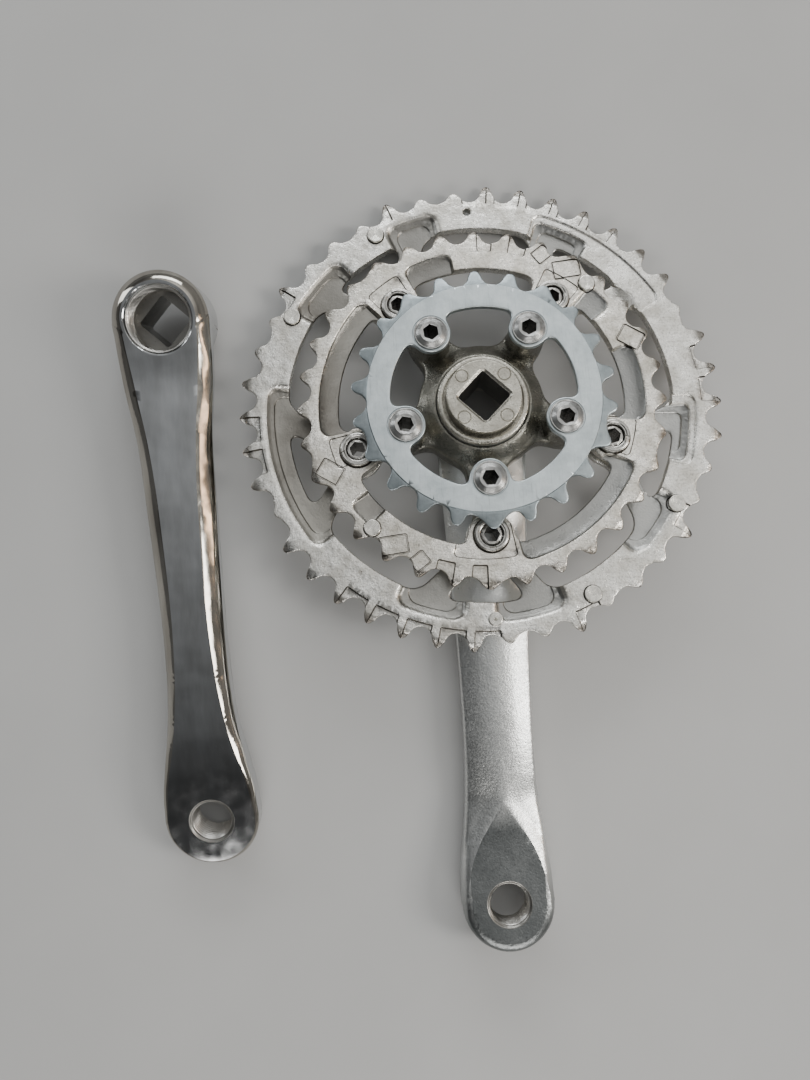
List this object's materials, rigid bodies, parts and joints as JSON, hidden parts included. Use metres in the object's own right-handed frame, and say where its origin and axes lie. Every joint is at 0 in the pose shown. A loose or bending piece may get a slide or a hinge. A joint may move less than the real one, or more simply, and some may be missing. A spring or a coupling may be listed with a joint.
{
  "type": "bicycle crankset",
  "caption": "Square-taper crankset: drive-side crank arm with a spider and stacked chainrings held by bolts, and a separate left crank arm lying beside it.",
  "frame": {"origin": "centre of the drive-side extractor thread's mouth, on the boss's outer face", "axes": "+Z along the bottom bracket spindle, pointing inboard and up as the set lies; the drive arm runs along -Y; +X to the right seen from inboard"},
  "size_m": [0.2147, 0.2783, 0.0576],
  "materials": {
    "satin_arm": "satin blasted with polished edges",
    "polished_arm": "polished",
    "cast_spider": "dark forged satin",
    "outer_ring_alloy": "satin anodised, worn",
    "middle_ring_alloy": "satin anodised, worn",
    "plated_steel_ring": "zinc-plated satin steel",
    "ring_bolt_steel": "turned bright steel",
    "inner_bolt_steel": "turned steel",
    "pin_steel": "riveted bright steel"
  },
  "bodies": {
    "drive_side": {"drive_crank_arm": "satin_arm", "spider": "cast_spider", "big_chainring": "outer_ring_alloy", "middle_chainring": "middle_ring_alloy", "small_chainring": "plated_steel_ring", "ring_bolt_1": "ring_bolt_steel", "ring_bolt_2": "ring_bolt_steel", "ring_bolt_3": "ring_bolt_steel", "ring_bolt_4": "ring_bolt_steel", "ring_bolt_5": "ring_bolt_steel", "ring_nut_1": "ring_bolt_steel", "ring_nut_2": "ring_bolt_steel", "ring_nut_3": "ring_bolt_steel", "ring_nut_4": "ring_bolt_steel", "ring_nut_5": "ring_bolt_steel", "small_ring_bolt_1": "inner_bolt_steel", "small_ring_bolt_2": "inner_bolt_steel", "small_ring_bolt_3": "inner_bolt_steel", "small_ring_bolt_4": "inner_bolt_steel", "small_ring_bolt_5": "inner_bolt_steel", "big_ring_shift_pin_1": "pin_steel", "big_ring_shift_pin_2": "pin_steel", "big_ring_shift_pin_3": "pin_steel", "big_ring_shift_pin_4": "pin_steel", "middle_ring_shift_pin_1": "pin_steel", "middle_ring_shift_pin_2": "pin_steel", "chain_drop_pin": "pin_steel"},
    "left_arm": {"left_crank_arm": "polished_arm"}
  },
  "joints": [
    {"name": "left_arm_lift", "type": "slide", "parent": "drive_side", "child": "left_arm", "axis": [0, 0, 1], "range_m": [0, 0.12]}
  ]
}
